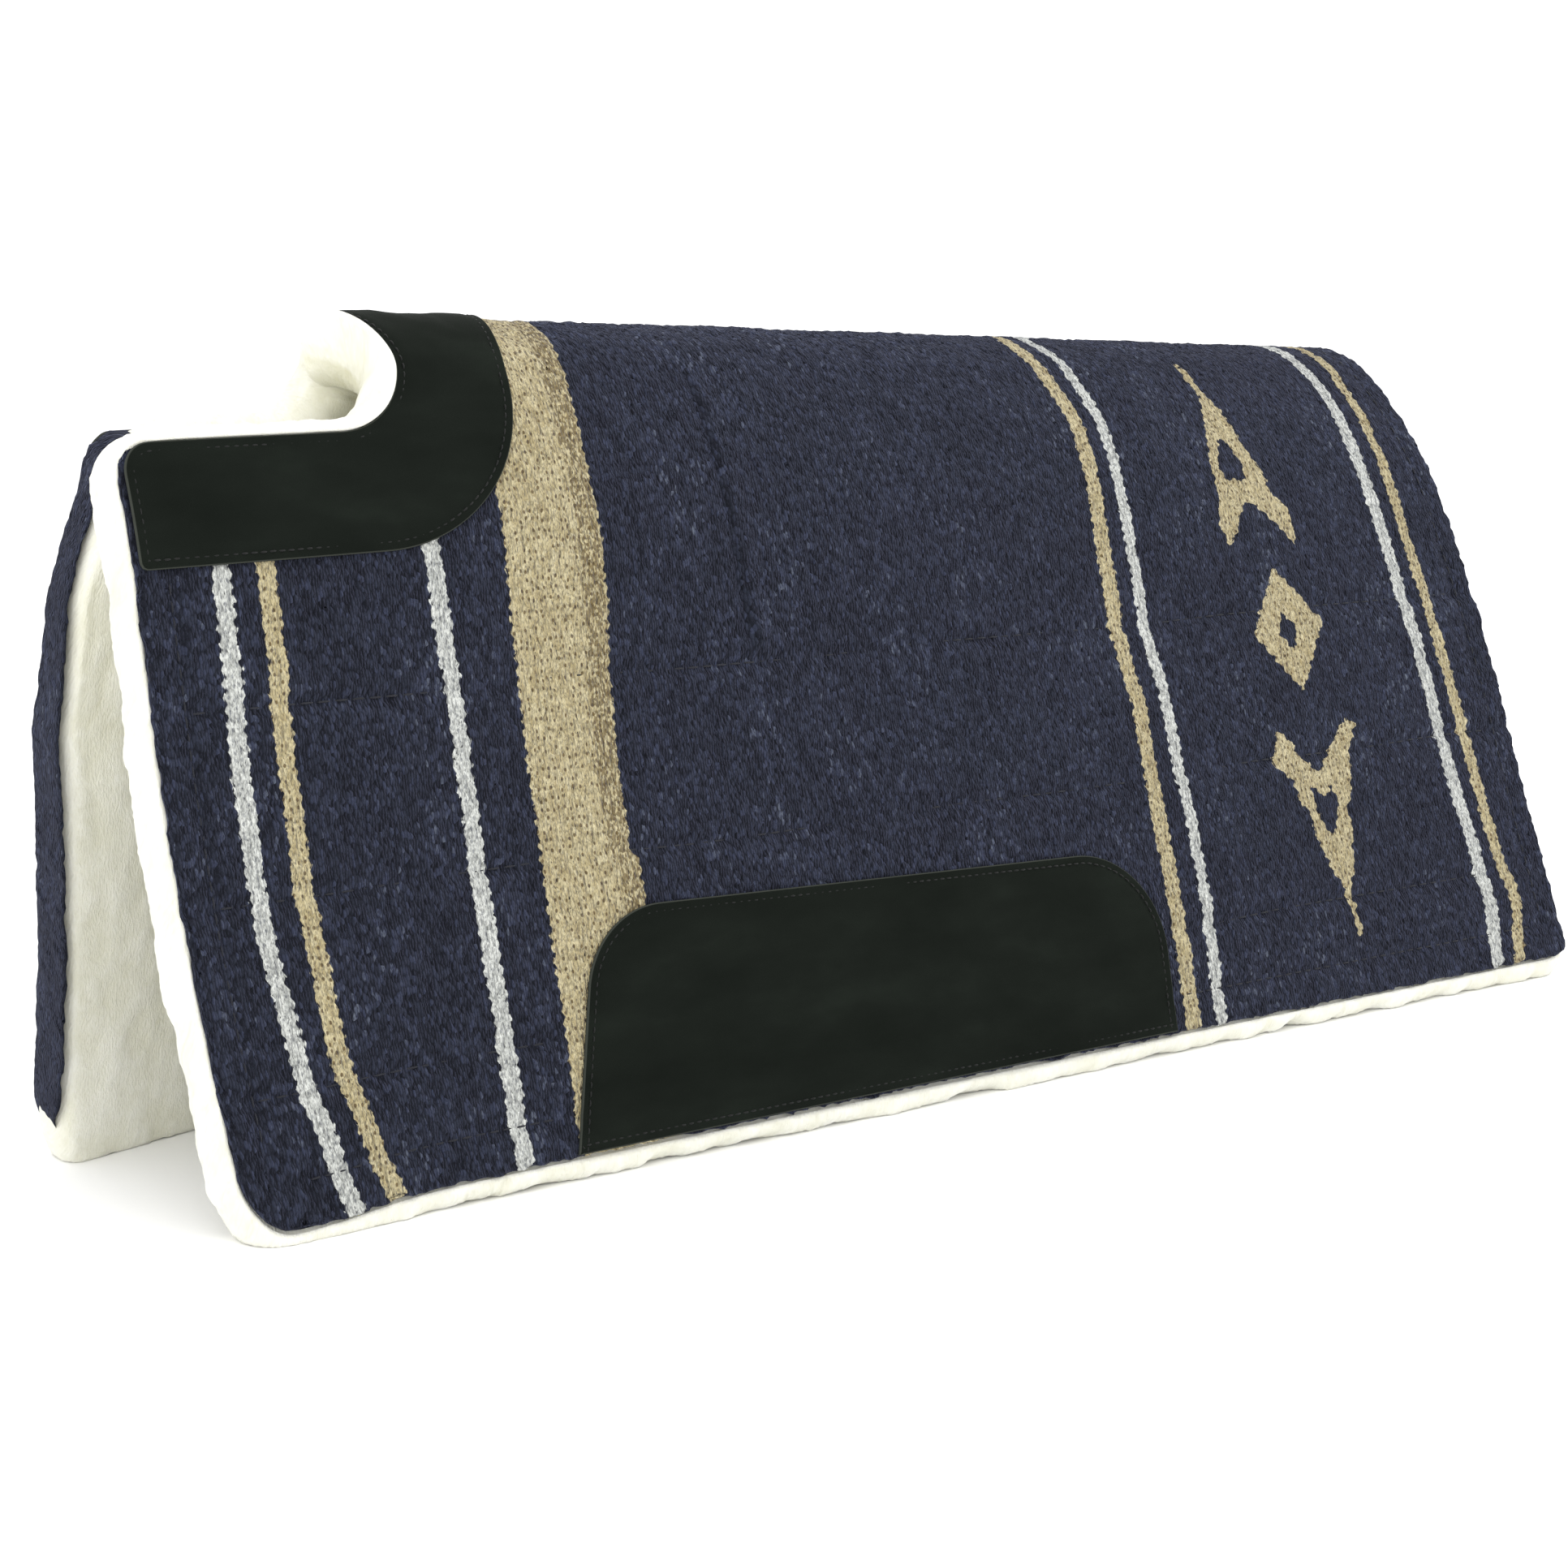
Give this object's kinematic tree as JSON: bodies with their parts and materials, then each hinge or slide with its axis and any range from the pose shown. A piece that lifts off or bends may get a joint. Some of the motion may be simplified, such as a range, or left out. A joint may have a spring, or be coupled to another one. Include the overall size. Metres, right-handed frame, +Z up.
{
  "type": "saddle pad",
  "caption": "Draped western saddle pad with a rounded wither notch, woven striped face, fleece lining and suede wear patches, its two flaps hinged at the shoulders.",
  "frame": {"origin": "centre of the footprint, on the surface that the hems stand on", "axes": "+X along the horse's spine towards the rear edge, the wither notch at -X; +Z up; the near flap at -Y"},
  "size_m": [0.813, 0.3916, 0.3933],
  "materials": {
    "woven_wool": "knobby hand-woven wool, navy with pale and tan stripes",
    "felt": "needled felt",
    "fleece": "long shaggy cream pile",
    "suede": "black suede",
    "leather_thread": "grey waxed thread",
    "blanket_thread": "dark thread"
  },
  "bodies": {
    "spine": {"spine_blanket": "woven_wool", "spine_filler": "felt", "spine_fleece": "fleece", "spine_wither_leather": "suede", "spine_wither_stitching": "leather_thread", "spine_edge_seam": "blanket_thread"},
    "near_flap": {"near_blanket": "woven_wool", "near_filler": "felt", "near_fleece": "fleece", "near_wither_leather": "suede", "near_wither_stitching": "leather_thread", "near_wear_leather": "suede", "near_wear_stitching": "leather_thread", "near_quilt_row_first": "blanket_thread", "near_quilt_row_second": "blanket_thread", "near_quilt_row_third": "blanket_thread", "near_edge_seam": "blanket_thread"},
    "far_flap": {"far_blanket": "woven_wool", "far_filler": "felt", "far_fleece": "fleece", "far_wither_leather": "suede", "far_wither_stitching": "leather_thread", "far_wear_leather": "suede", "far_wear_stitching": "leather_thread", "far_quilt_row_first": "blanket_thread", "far_quilt_row_second": "blanket_thread", "far_quilt_row_third": "blanket_thread", "far_edge_seam": "blanket_thread"}
  },
  "joints": [
    {"name": "near_flap_bend", "type": "hinge", "parent": "spine", "child": "near_flap", "pos_m": [0, -0.04541, 0.35879], "axis": [-0.9993, 0.0065, 0.0358], "range_deg": [-9, 65]},
    {"name": "far_flap_bend", "type": "hinge", "parent": "spine", "child": "far_flap", "pos_m": [0, 0.04541, 0.35879], "axis": [0.9993, 0.0065, -0.0358], "range_deg": [-9, 65]}
  ]
}
